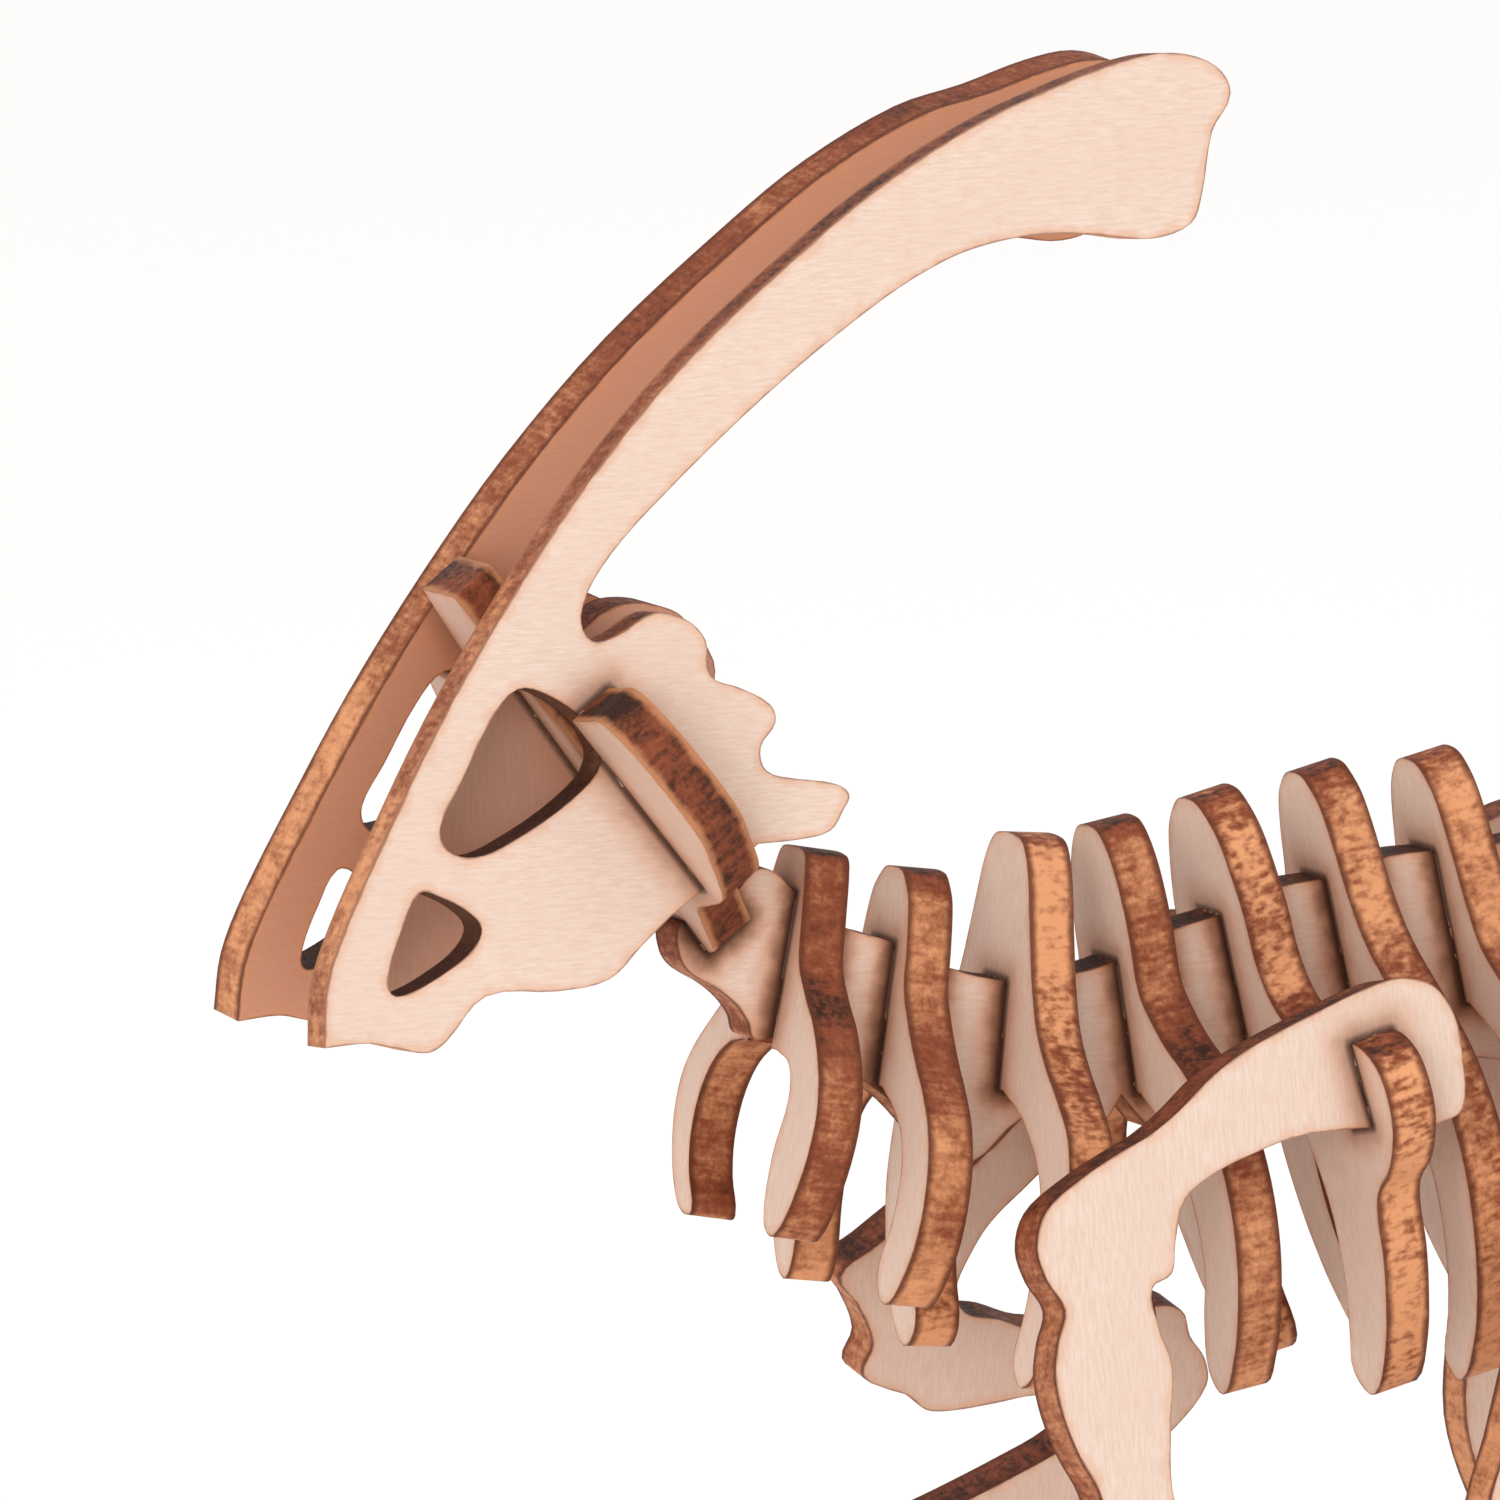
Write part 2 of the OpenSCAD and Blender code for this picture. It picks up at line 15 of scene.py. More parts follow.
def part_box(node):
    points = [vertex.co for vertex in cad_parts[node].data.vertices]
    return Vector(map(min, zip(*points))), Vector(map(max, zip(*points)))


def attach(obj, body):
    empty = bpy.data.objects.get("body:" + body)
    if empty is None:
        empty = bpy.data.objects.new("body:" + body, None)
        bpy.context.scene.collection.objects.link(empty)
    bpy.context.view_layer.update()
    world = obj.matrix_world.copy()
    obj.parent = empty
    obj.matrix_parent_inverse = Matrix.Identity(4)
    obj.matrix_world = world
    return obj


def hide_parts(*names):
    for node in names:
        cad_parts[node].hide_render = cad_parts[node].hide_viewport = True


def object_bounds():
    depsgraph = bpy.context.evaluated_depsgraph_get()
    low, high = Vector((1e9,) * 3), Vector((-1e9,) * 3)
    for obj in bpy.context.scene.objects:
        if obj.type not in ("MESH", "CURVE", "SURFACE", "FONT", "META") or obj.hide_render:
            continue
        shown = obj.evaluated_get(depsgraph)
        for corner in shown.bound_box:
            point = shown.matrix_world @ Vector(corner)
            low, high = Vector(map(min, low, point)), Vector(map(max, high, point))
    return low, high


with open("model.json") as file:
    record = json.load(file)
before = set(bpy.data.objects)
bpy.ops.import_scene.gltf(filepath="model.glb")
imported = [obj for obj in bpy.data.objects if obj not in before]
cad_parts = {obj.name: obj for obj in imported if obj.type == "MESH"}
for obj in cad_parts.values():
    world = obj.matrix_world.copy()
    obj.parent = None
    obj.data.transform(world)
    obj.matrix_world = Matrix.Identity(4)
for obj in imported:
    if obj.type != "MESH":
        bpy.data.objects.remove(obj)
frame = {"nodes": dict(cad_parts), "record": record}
cad_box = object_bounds()

MM = 0.001

# ---- sheets ----

# Plates whose veneer grain runs along the body; on all others it runs up the plate
GRAIN_ALONG_BODY = ("skull_side_left", "skull_side_right", "spine_plate")
# Width in mm of the band beside each cut that carries the scorch, and the spacing of the points in it
RIM_BAND = 2.2
RIM_SPACING = 0.45
# As shares of that spacing: how far apart the rows of points stand, and the least distance to a cut
ROW_SHARE = 0.87
CLEAR_SHARE = 0.5
# How far in mm the smoke stain and the painted contact shade reach from where another plate crosses
SMOKE_AND_SHADE_REACH = 4.0
# Nearer than this in mm, another plate covers the surface
COVERED = 0.15
# Cosine above which a polygon belongs to a broad face
FLAT = 0.999
SHARP_ANGLE = math.radians(32)
# Points closer than this are one point: in metres on the CAD mesh, in mm on a flattened face
WELD_CAD = 1e-6
WELD_FLAT = 1e-6
# Keeps a border segment without length from dividing by zero
TINY = 1e-12
# The triangulation's setting that keeps only the triangles inside the border
ONLY_INSIDE = 1

# How dark the laser left each cut edge, from 0 (light orange) over 1 (dark brown) to 1.5 (nearly black)
SCORCH = {
    "cheek_plate": 1.15,
    "skull_side_left": 0.45,
    "skull_side_right": 0.3,
    "spine_plate": 0.9,
    "rib_1": 0.8,
    "rib_2": 0.5,
    "rib_3": 0.2,
    "rib_4": 0.55,
    "shoulder_rib": 0.38,
    "rib_6": 0.4,
    "rib_7": 0.25,
    "foreleg_left": 0.62,
    "foreleg_right": 0.55,
}
USUAL_SCORCH = 0.45
# How strongly light and dark specks show in the edge
SPECKS = {"rib_3": 0.8, "shoulder_rib": 0.9, "rib_6": 0.6, "rib_7": 0.5, "rib_4": 0.3}
USUAL_SPECKS = 0.2
# Plates whose edges stayed light along both faces, where the others have a burnt line
LIGHT_BORDER = {"cheek_plate": 0.6, "skull_side_left": 0.4}
# How strongly painted shade browns each plate, from 0 (pale) to 1, on the faces that don't look away from
# the body
INNER_SHADE = {
    "skull_side_left": 0.1,
    "skull_side_right": 0.88,
    "skull_core": 0.65,
    "cheek_plate": 0.3,
    "foreleg_right": 0.15,
    "spine_plate": 0.0,
}
USUAL_INNER_SHADE = 0.1
# How strongly smoke stains and painted contact shade darken each plate's faces beside the plates that
# cross it
SMOKE_AND_SHADE = {"spine_plate": 0.95, "skull_side_left": 0.6, "foreleg_left": 0.6, "skull_core": 0.3}
USUAL_SMOKE_AND_SHADE = 0.55


def sheet_normal(bm):
    """The direction most of a plate's area faces, counting opposite sides as one."""
    facing = defaultdict(Vector)
    for face in bm.faces:
        lead = max(face.normal, key=abs)
        normal = face.normal * math.copysign(1, lead)
        key = tuple(round(c, 3) for c in normal)
        facing[key] += normal * face.calc_area()
    return max(facing.values(), key=lambda total: total.length).normalized()


def sheet_axes(name, normal):
    """Grain direction and cross direction in the plane of a sheet."""
    wanted = Vector((1, 0, 0)) if name in GRAIN_ALONG_BODY else Vector((0, 0, 1))
    grain = (wanted - wanted.dot(normal) * normal).normalized()
    return grain, normal.cross(grain)


def border_loops(edges):
    """Groups of border edges that hang together, the longest first: the outline, then the holes."""
    waiting = set(edges)
    loops = []
    while waiting:
        stack = [waiting.pop()]
        loop = []
        while stack:
            edge = stack.pop()
            loop.append(edge)
            for vert in edge.verts:
                for other in vert.link_edges:
                    if other in waiting:
                        waiting.remove(other)
                        stack.append(other)
        loops.append(loop)
    return sorted(loops, key=lambda loop: -sum(edge.calc_length() for edge in loop))


def distance_to_border(points, starts, ends):
    """Distance of each flat point to the nearest border segment."""
    nearest = np.full(len(points), np.inf)
    for start, end in zip(starts, ends):
        along = end - start
        share = ((points - start) @ along) / max(along @ along, TINY)
        foot = start + np.clip(share, 0, 1)[:, None] * along
        nearest = np.minimum(nearest, np.linalg.norm(points - foot, axis=1))
    return nearest


def inside_border(points, starts, ends):
    """For each flat point, whether it lies inside the border, with the holes left out."""
    inside = np.zeros(len(points), bool)
    for start, end in zip(starts, ends):
        if start[1] == end[1]:
            continue
        spans = (points[:, 1] < start[1]) != (points[:, 1] < end[1])
        share = (points[:, 1] - start[1]) / (end[1] - start[1])
        inside ^= spans & (points[:, 0] < start[0] + share * (end[0] - start[0]))
    return inside


def others_tree(name):
    """All plates but one, for finding how near a point is to a plate that crosses it."""
    verts = []
    polygons = []
    for other, node in frame["nodes"].items():
        if other == name:
            continue
        first = len(verts)
        verts.extend(vert.co for vert in node.data.vertices)
        polygons.extend([first + i for i in face.vertices] for face in node.data.polygons)
    return BVHTree.FromPolygons(verts, polygons)


def nearness(tree, place):
    """Distance in mm to the nearest other plate, at most the reach of the smoke and painted contact shade.
    """
    found = tree.find_nearest(place, SMOKE_AND_SHADE_REACH * MM)
    return SMOKE_AND_SHADE_REACH if found[0] is None else found[3] / MM


def band_points(starts, ends, near):
    """Staggered points beside the border and beside other plates; near(point) says how close those are."""
    corners = np.vstack([starts, ends])
    low = corners.min(0)
    high = corners.max(0)
    rows = np.arange(low[1], high[1], RIM_SPACING * ROW_SHARE)
    grid = []
    for number, row in enumerate(rows):
        columns = np.arange(low[0] + (number % 2) * RIM_SPACING / 2, high[0], RIM_SPACING)
        grid.append(np.column_stack([columns, np.full(len(columns), row)]))
    grid = np.vstack(grid)
    grid = grid[inside_border(grid, starts, ends)]
    distance = distance_to_border(grid, starts, ends)
    keep = distance > RIM_SPACING * CLEAR_SHARE
    marked = [away < RIM_BAND or near(point) < SMOKE_AND_SHADE_REACH for point, away in zip(grid, distance)]
    return grid[keep & np.array(marked)]


def clean_covered(triangles, near):
    """Takes the smoke and painted contact shade off what another plate covers, all but the outermost ring
    of points.
    """
    covered = {vert for triangle in triangles for vert in triangle if vert[near] < COVERED}
    ring = {vert for triangle in triangles if not covered.issuperset(triangle) for vert in triangle}
    for vert in covered - ring:
        vert[near] = SMOKE_AND_SHADE_REACH


def broad_side(bm, normal, sign):
    """The polygons of one broad face of a plate, and the edges round them and round their holes."""
    faces = [face for face in bm.faces if face.normal.dot(normal) * sign > FLAT]
    inside = set(faces)
    border = [e for face in faces for e in face.edges if sum(f in inside for f in e.link_faces) == 1]
    return faces, border


def mark_holes(border, hole):
    """Marks the corners of every border loop but the longest, which is the plate's outline."""
    for loop in border_loops(border)[1:]:
        for edge in loop:
            for vert in edge.verts:
                vert[hole] = 1.0


def add_faces(bm, triangles, normal):
    """Adds veneer triangles that face along a direction."""
    for triangle in triangles:
        face = bm.faces.new(triangle)
        face.normal_update()
        if face.normal.dot(normal) < 0:
            face.normal_flip()
        face.material_index = 0


def refill_side(bm, normal, grain, cross, sign, layers, tree):
    """Replaces one broad face of a plate by a finer one that knows its distance to the cuts."""
    rim, hole, near = layers
    old, border = broad_side(bm, normal, sign)
    mark_holes(border, hole)
    level = border[0].verts[0].co.dot(normal)

    def place(point):
        """Where a point of the face, given in mm along the grain and across it, lies in the model."""
        return grain * point[0] * MM + cross * point[1] * MM + normal * level

    border_verts = list({vert for edge in border for vert in edge.verts})
    index = {vert: i for i, vert in enumerate(border_verts)}
    flat = np.array([(v.co.dot(grain) / MM, v.co.dot(cross) / MM) for v in border_verts])
    pairs = [(index[e.verts[0]], index[e.verts[1]]) for e in border]
    starts = flat[[a for a, b in pairs]]
    ends = flat[[b for a, b in pairs]]
    extra = band_points(starts, ends, lambda point: nearness(tree, place(point)))
    points = [Vector(p) for p in np.vstack([flat, extra])]
    bmesh.ops.delete(bm, geom=old, context="FACES_KEEP_BOUNDARY")
    coords, _, triangles, origin, _, _ = delaunay_2d_cdt(points, pairs, [], ONLY_INSIDE, WELD_FLAT)
    placed = np.array([tuple(c) for c in coords])
    distance = distance_to_border(placed, starts, ends)
    middles = np.array([placed[list(triangle)].mean(0) for triangle in triangles])
    wanted = inside_border(middles, starts, ends)
    verts = []
    used = {i for triangle, kept in zip(triangles, wanted) if kept for i in triangle}
    for i, (coord, sources, away) in enumerate(zip(coords, origin, distance)):
        known = [j for j in sources if j < len(border_verts)]
        if known:
            vert = border_verts[known[0]]
        elif i in used:
            vert = bm.verts.new(place(coord))
        else:
            verts.append(None)
            continue
        vert[rim] = min(away, RIM_BAND)
        vert[near] = nearness(tree, vert.co)
        verts.append(vert)
    kept = [[verts[i] for i in triangle] for triangle, inner in zip(triangles, wanted) if inner]
    add_faces(bm, kept, normal * sign)
    clean_covered(kept, near)


def build_sheet(name):
    """A plate rebuilt from its CAD node, with the veneer, scorch and painted-shade coordinates its
    materials read.
    """
    bm = bmesh.new()
    bm.from_mesh(frame["nodes"][name].data)
    bmesh.ops.remove_doubles(bm, verts=bm.verts, dist=WELD_CAD)
    bm.normal_update()
    rim = bm.verts.layers.float.new("rim")
    hole = bm.verts.layers.float.new("hole")
    near = bm.verts.layers.float.new("near")
    upward = bm.verts.layers.float.new("upward")
    inward = bm.verts.layers.float.new("inward")
    sheet = bm.verts.layers.float_vector.new("sheet")
    tree = others_tree(name)
    normal = sheet_normal(bm)
    grain, cross = sheet_axes(name, normal)
    for vert in bm.verts:
        walls = [face.normal.z for face in vert.link_faces if abs(face.normal.dot(normal)) < FLAT]
        vert[upward] = sum(walls) / len(walls) if walls else 0.0
    for face in bm.faces:
        face.material_index = 1
    for sign in (1, -1):
        refill_side(bm, normal, grain, cross, sign, (rim, hole, near), tree)
    levels = [vert.co.dot(normal) for vert in bm.verts]
    bottom = min(levels)
    middle = (bottom + max(levels)) / 2
    outward = normal.y * sum(vert.co.y for vert in bm.verts) / len(bm.verts)
    for vert, level in zip(bm.verts, levels):
        place = (vert.co.dot(grain), vert.co.dot(cross), level - bottom)
        vert[sheet] = Vector(place) / MM
        # Faces turned toward the body's middle, which get the painted inner shade
        vert[inward] = float(outward * (level - middle) <= 0 or abs(outward) < MM)
    mesh = bpy.data.meshes.new(name + "_wood")
    bm.to_mesh(mesh)
    bm.free()
    mesh.polygons.foreach_set("use_smooth", [True] * len(mesh.polygons))
    mesh.set_sharp_from_angle(angle=SHARP_ANGLE)
    piece = bpy.data.objects.new(name + "_wood", mesh)
    bpy.context.scene.collection.objects.link(piece)
    return piece


# ---- materials ----

BUMP_STRENGTH = 0.6
WOOD_SHINE = 0.25
# Height of the relief in the faces and in the edges
VENEER_RELIEF = 0.02 * MM
EDGE_RELIEF = 0.05 * MM
# The stretch of a noise texture's values that most ramps below spread over their full swing
NOISE_RANGE = (0.3, 0.7)
# The wood pattern of each plate is moved on by this much, so that no two plates look alike
PATTERN_STEP = 37.0


def srgb(red, green, blue):
    """A colour given as 0-255 screen values."""
    def linear(value):
        """The standard screen curve, undone."""
        value = value / 255
        return value / 12.92 if value <= 0.04045 else ((value + 0.055) / 1.055) ** 2.4
    return (linear(red), linear(green), linear(blue), 1.0)


class Graph:
    """Short calls for building one material's nodes."""

    def __init__(self, name):
        self.material = bpy.data.materials.new(name)
        self.material.use_nodes = True
        self.tree = self.material.node_tree
        self.tree.nodes.clear()

    def node(self, kind, **settings):
        made = self.tree.nodes.new(kind)
        for key, value in settings.items():
            setattr(made, key, value)
        return made

    def feed(self, socket, value):
        """Links a socket to another node's output, or sets it to a plain value."""
        if isinstance(value, bpy.types.NodeSocket):
            self.tree.links.new(value, socket)
        else:
            socket.default_value = value

    def math(self, operation, first, second):
        made = self.node("ShaderNodeMath", operation=operation)
        self.feed(made.inputs[0], first)
        self.feed(made.inputs[1], second)
        return made.outputs[0]

    def attribute(self, name, output="Fac", source="GEOMETRY"):
        made = self.node("ShaderNodeAttribute", attribute_name=name, attribute_type=source)
        return made.outputs[output]

    def stretch(self, vector, scale):
        made = self.node("ShaderNodeVectorMath", operation="MULTIPLY")
        self.feed(made.inputs[0], vector)
        made.inputs[1].default_value = scale
        return made.outputs[0]

    def shifted(self, vector, amount):
        """A vector with the same amount added along all three axes."""
        joined = self.node("ShaderNodeCombineXYZ")
        for socket in joined.inputs:
            self.feed(socket, amount)
        made = self.node("ShaderNodeVectorMath", operation="ADD")
        self.feed(made.inputs[0], vector)
        self.feed(made.inputs[1], joined.outputs[0])
        return made.outputs[0]

    def noise(self, vector, detail=2.0, roughness=0.5):
        made = self.node("ShaderNodeTexNoise")
        self.feed(made.inputs["Vector"], vector)
        made.inputs["Scale"].default_value = 1.0
        made.inputs["Detail"].default_value = detail
        made.inputs["Roughness"].default_value = roughness
        return made.outputs["Fac"]

    def ramp(self, value, low, high, to_low=0.0, to_high=1.0):
        """A soft step from to_low, where the value is low, to to_high, where it is high."""
        made = self.node("ShaderNodeMapRange", interpolation_type="SMOOTHSTEP")
        self.feed(made.inputs["Value"], value)
        made.inputs["From Min"].default_value = low
        made.inputs["From Max"].default_value = high
        made.inputs["To Min"].default_value = to_low
        made.inputs["To Max"].default_value = to_high
        return made.outputs["Result"]

    def mix(self, share, first, second):
        """Two colours mixed; the numbers are those of the mix node's colour sockets."""
        made = self.node("ShaderNodeMix", data_type="RGBA")
        self.feed(made.inputs[0], share)
        self.feed(made.inputs[6], first)
        self.feed(made.inputs[7], second)
        return made.outputs[2]

    def finish(self, colour, roughness, height, depth):
        """A matt wood surface with that colour, roughness and relief (depth in metres)."""
        bump = self.node("ShaderNodeBump")
        bump.inputs["Strength"].default_value = BUMP_STRENGTH
        bump.inputs["Distance"].default_value = depth
        self.feed(bump.inputs["Height"], height)
        shader = self.node("ShaderNodeBsdfPrincipled")
        self.feed(shader.inputs["Base Color"], colour)
        self.feed(shader.inputs["Roughness"], roughness)
        self.feed(shader.inputs["Normal"], bump.outputs[0])
        shader.inputs["Specular IOR Level"].default_value = WOOD_SHINE
        output = self.node("ShaderNodeOutputMaterial")
        self.tree.links.new(shader.outputs[0], output.inputs["Surface"])
        return self.material


# The pelvis plate stands square to the body, so its box is one sheet thick
PLY = (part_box("pelvis_plate")[1].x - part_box("pelvis_plate")[0].x) / MM
VENEER_LIGHT = srgb(219, 198, 184)
VENEER_DARK = srgb(208, 182, 165)
VENEER_PORE = srgb(201, 164, 140)
# Brown of the painted shade on inward faces
INNER_SHADE_COLOUR = srgb(186, 116, 78)
# Colours of the smoke stain and painted contact shade, light and dark
SMOKE_AND_SHADE_THIN = srgb(192, 126, 86)
SMOKE_AND_SHADE_THICK = srgb(58, 28, 14)
HALO = srgb(206, 138, 92)
CHAR = srgb(92, 42, 21)
EDGE_LIGHT = srgb(214, 148, 104)
EDGE_DARK = srgb(128, 64, 37)
# Dark brown of burnt wood, also used for painted shade at contacts and inside holes
BURNT_AND_SHADE_DARK = srgb(50, 23, 13)


def veneer_material():
    """Pale birch veneer: fine fibres, short pores, cloudy tone, scorch that fades from each cut, smoke
    with painted contact shade beside crossing plates, and painted shade on inward faces.
    """
    g = Graph("birch_veneer")
    sheet = g.shifted(g.attribute("sheet", "Vector"), g.attribute("shift", source="OBJECT"))
    fibres = g.noise(g.stretch(sheet, (0.7, 5.0, 5.0)), 4.0, 0.7)
    pores = g.noise(g.stretch(sheet, (1.6, 8.0, 8.0)), 2.0)
    clouds = g.noise(g.stretch(sheet, (0.07, 0.16, 0.16)), 2.0)
    wobble = g.noise(g.stretch(sheet, (0.8, 0.8, 0.8)), 2.0)
    colour = g.mix(g.ramp(fibres, *NOISE_RANGE), VENEER_LIGHT, VENEER_DARK)
    colour = g.mix(g.ramp(clouds, 0.35, 0.7, 0.0, 0.35), colour, VENEER_DARK)
    colour = g.mix(g.ramp(pores, 0.6, 0.75, 0.0, 0.35), colour, VENEER_PORE)
    # Painted shade: faces turned toward the body's middle are browned as if in the shadow of the plates
    # around them
    inner_shaded = g.math("MULTIPLY", g.attribute("inner_shade_strength", source="OBJECT"), g.attribute("inward"))
    colour = g.mix(inner_shaded, colour, g.mix(0.12, INNER_SHADE_COLOUR, colour))
    reach = g.math("DIVIDE", g.attribute("rim"), g.ramp(wobble, *NOISE_RANGE, 0.45, 1.3))
    colour = g.mix(g.ramp(reach, 0.8, 0.0, 0.0, 0.4), colour, HALO)
    colour = g.mix(g.ramp(reach, 0.16, 0.0, 0.0, 0.65), colour, CHAR)
    # Smoke stain beside plates that cross this one, partly real smoke residue and partly painted contact
    # shade where the plates meet
    smoke_and_shade_strength = g.attribute("smoke_and_shade_strength", source="OBJECT")
    smoke_and_shade_distance = g.math("ADD", g.attribute("near"), g.ramp(wobble, *NOISE_RANGE, -0.15, 0.15))
    thin = g.math("MULTIPLY", g.ramp(smoke_and_shade_distance, 2.8, 0.2, 0.0, 0.9), smoke_and_shade_strength)
    thick = g.math("MULTIPLY", g.ramp(smoke_and_shade_distance, 1.6, 0.1, 0.0, 0.9), g.math("MULTIPLY", smoke_and_shade_strength, smoke_and_shade_strength))
    colour = g.mix(thick, g.mix(thin, colour, SMOKE_AND_SHADE_THIN), SMOKE_AND_SHADE_THICK)
    # Face turns nearly black right where another plate touches it: partly burn at the slot, partly painted
    # contact shade
    colour = g.mix(g.ramp(g.attribute("near"), 0.55, 0.12, 0.0, 0.8), colour, BURNT_AND_SHADE_DARK)
    roughness = g.ramp(fibres, *NOISE_RANGE, 0.58, 0.74)
    return g.finish(colour, roughness, g.math("ADD", fibres, pores), VENEER_RELIEF)


def edge_material():
    """Laser-cut edge: mottled brown, burnt lines along both faces, specks, painted shade where it faces
    up, darker edges round holes.
    """
    g = Graph("scorched_edge")
    sheet = g.shifted(g.attribute("sheet", "Vector"), g.attribute("shift", source="OBJECT"))
    depth = g.node("ShaderNodeSeparateXYZ")
    g.feed(depth.inputs[0], g.attribute("sheet", "Vector"))
    across = depth.outputs["Z"]
    to_face = g.math("MINIMUM", across, g.math("SUBTRACT", PLY, across))
    patches = g.noise(g.stretch(sheet, (0.12, 0.12, 0.12)), 2.0)
    mottle = g.noise(g.stretch(sheet, (0.55, 0.55, 0.7)), 4.0, 0.68)
    grit = g.noise(g.stretch(sheet, (3.2, 3.2, 3.2)), 3.0, 0.7)
    marks = g.noise(g.stretch(sheet, (2.4, 2.4, 0.5)), 2.0)
    tone = g.attribute("scorch", source="OBJECT")
    for pattern, swing in ((patches, 0.18), (mottle, 0.16), (grit, 0.1), (marks, 0.12)):
        tone = g.math("ADD", tone, g.ramp(pattern, *NOISE_RANGE, -swing, swing))
    specks = g.ramp(g.noise(g.stretch(sheet, (2.2, 2.2, 1.3)), 1.0), 0.25, 0.75, -0.4, 0.4)
    tone = g.math("ADD", tone, g.math("MULTIPLY", specks, g.attribute("specks", source="OBJECT")))
    # Painted shade and light by direction: edges that face up are darkened, edges that face down lightened
    tone = g.math("ADD", tone, g.ramp(g.attribute("upward"), 0.35, 0.95, 0.0, 0.75))
    tone = g.math("ADD", tone, g.ramp(g.attribute("upward"), -0.1, -0.9, 0.0, -0.3))
    colour = g.mix(g.ramp(tone, 0.0, 1.0), EDGE_LIGHT, EDGE_DARK)
    colour = g.mix(g.ramp(tone, 0.9, 1.6), colour, BURNT_AND_SHADE_DARK)
    line = g.math("ADD", to_face, g.ramp(mottle, *NOISE_RANGE, -0.12, 0.12))
    line_colour = g.mix(g.attribute("light_border", source="OBJECT"), CHAR, EDGE_LIGHT)
    colour = g.mix(g.ramp(line, 0.62, 0.08, 0.0, 0.9), colour, line_colour)
    # Edges round holes darkened, partly deeper scorch and partly painted shade inside the holes
    colour = g.mix(g.math("MULTIPLY", g.attribute("hole"), 0.85), colour, BURNT_AND_SHADE_DARK)
    roughness = g.ramp(grit, *NOISE_RANGE, 0.6, 0.85)
    height = g.math("ADD", g.math("ADD", grit, mottle), marks)
    return g.finish(colour, roughness, height, EDGE_RELIEF)


veneer = veneer_material()
edge = edge_material()

for body, members in frame["record"]["behaviour"]["bodies"].items():
    for name in members:
        piece = build_sheet(name)
        piece.data.materials.append(veneer)
        piece.data.materials.append(edge)
        order = sorted(frame["nodes"]).index(name)
        piece["shift"] = PATTERN_STEP * order
        piece["scorch"] = SCORCH.get(name, USUAL_SCORCH)
        piece["specks"] = SPECKS.get(name, USUAL_SPECKS)
        piece["inner_shade_strength"] = INNER_SHADE.get(name, USUAL_INNER_SHADE)
        piece["smoke_and_shade_strength"] = SMOKE_AND_SHADE.get(name, USUAL_SMOKE_AND_SHADE)
        piece["light_border"] = LIGHT_BORDER.get(name, 0.0)
        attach(piece, body)
        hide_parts(name)

# ---- floor, light and camera ----

low, high = (Vector(corner) for corner in cad_box)
span = high - low
centre = (low + high) / 2

FLOOR_SIZE = 14
FLOOR_COLOUR = (0.93, 0.93, 0.93, 1.0)
FLOOR_ROUGHNESS = 0.9

SOFTBOX_SIZE = 0.7
# Azimuth and elevation in degrees and distance from the model's centre, then power and colour
SOFTBOXES = {
    "key": (35, 48, 1.3, 2.0, (1.0, 0.98, 0.96)),
    "fill": (-45, 10, 1.5, 7.5, (1.0, 0.97, 0.94)),
}
ROOM_COLOUR = (1.0, 0.99, 0.98, 1.0)
ROOM_STRENGTH = 1.02

# The middle of the picture, as shares of the model's length and height, on its middle plane
PICTURE_LENGTH_SHARE = 0.162
PICTURE_HEIGHT_SHARE = 0.66
VIEW_AZIMUTH = math.radians(-26.3)
VIEW_ELEVATION = math.radians(8.5)
VIEW_DISTANCE = 1.0
LENS = 402.5
SENSOR_WIDTH = 36


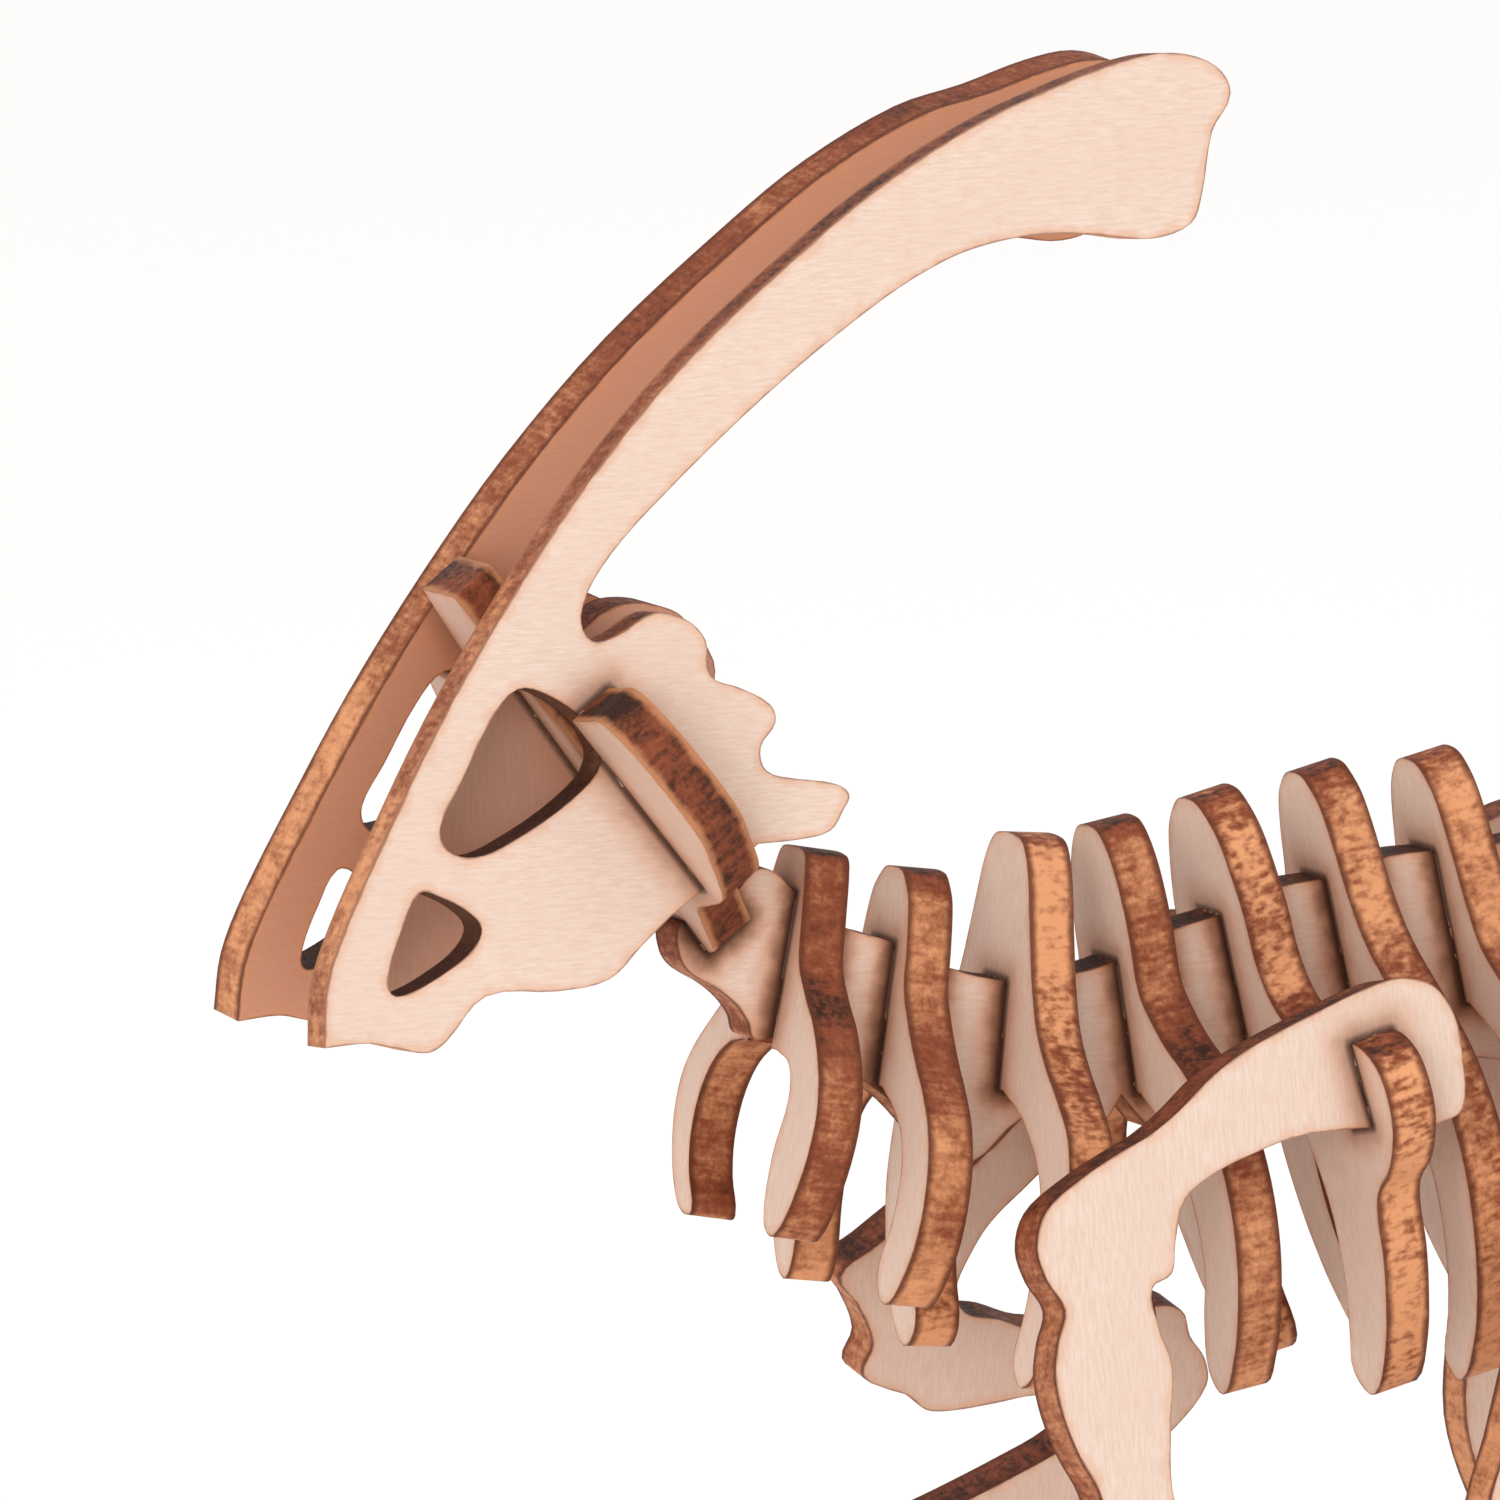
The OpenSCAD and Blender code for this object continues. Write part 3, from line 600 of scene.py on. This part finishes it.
def make_floor():
    """A pale table top, far wider than the model, level with its feet."""
    bpy.ops.mesh.primitive_plane_add(size=FLOOR_SIZE, location=(0, 0, low.z))
    floor = bpy.context.object
    floor.name = "floor"
    g = Graph("pale_table")
    shader = g.node("ShaderNodeBsdfPrincipled")
    shader.inputs["Base Color"].default_value = FLOOR_COLOUR
    shader.inputs["Roughness"].default_value = FLOOR_ROUGHNESS
    output = g.node("ShaderNodeOutputMaterial")
    g.tree.links.new(shader.outputs[0], output.inputs["Surface"])
    floor.data.materials.append(g.material)


def aim(obj, target):
    """Turns a lamp or camera toward a point."""
    obj.rotation_euler = (target - obj.location).to_track_quat("-Z", "Y").to_euler()


def toward(azimuth, elevation):
    """Unit vector from the model to a viewer, azimuth counted from the model's left side."""
    flat = math.cos(elevation)
    return Vector((math.sin(azimuth) * flat, -math.cos(azimuth) * flat, math.sin(elevation)))


def softbox(name, azimuth, elevation, distance, power, colour):
    """A square area light that faces the model's centre."""
    data = bpy.data.lights.new(name, "AREA")
    data.shape = "SQUARE"
    data.size = SOFTBOX_SIZE
    data.energy = power
    data.color = colour
    lamp = bpy.data.objects.new(name, data)
    bpy.context.scene.collection.objects.link(lamp)
    lamp.location = centre + toward(math.radians(azimuth), math.radians(elevation)) * distance
    aim(lamp, centre)


def make_camera():
    """A long lens at the picture's angle, looking at the skull and the first ribs."""
    target = Vector((
        low.x + PICTURE_LENGTH_SHARE * span.x,
        0,
        low.z + PICTURE_HEIGHT_SHARE * span.z,
    ))
    data = bpy.data.cameras.new("camera")
    data.lens = LENS
    data.sensor_width = SENSOR_WIDTH
    camera = bpy.data.objects.new("camera", data)
    bpy.context.scene.collection.objects.link(camera)
    camera.location = target + toward(VIEW_AZIMUTH, VIEW_ELEVATION) * VIEW_DISTANCE
    aim(camera, target)
    bpy.context.scene.camera = camera


def make_world():
    """Even, nearly white light from all round."""
    world = bpy.data.worlds.new("studio")
    world.use_nodes = True
    background = world.node_tree.nodes["Background"]
    background.inputs["Color"].default_value = ROOM_COLOUR
    background.inputs["Strength"].default_value = ROOM_STRENGTH
    bpy.context.scene.world = world


make_floor()
make_world()
for lamp_name, settings in SOFTBOXES.items():
    softbox(lamp_name, *settings)
make_camera()
bpy.context.scene.view_settings.view_transform = "Standard"
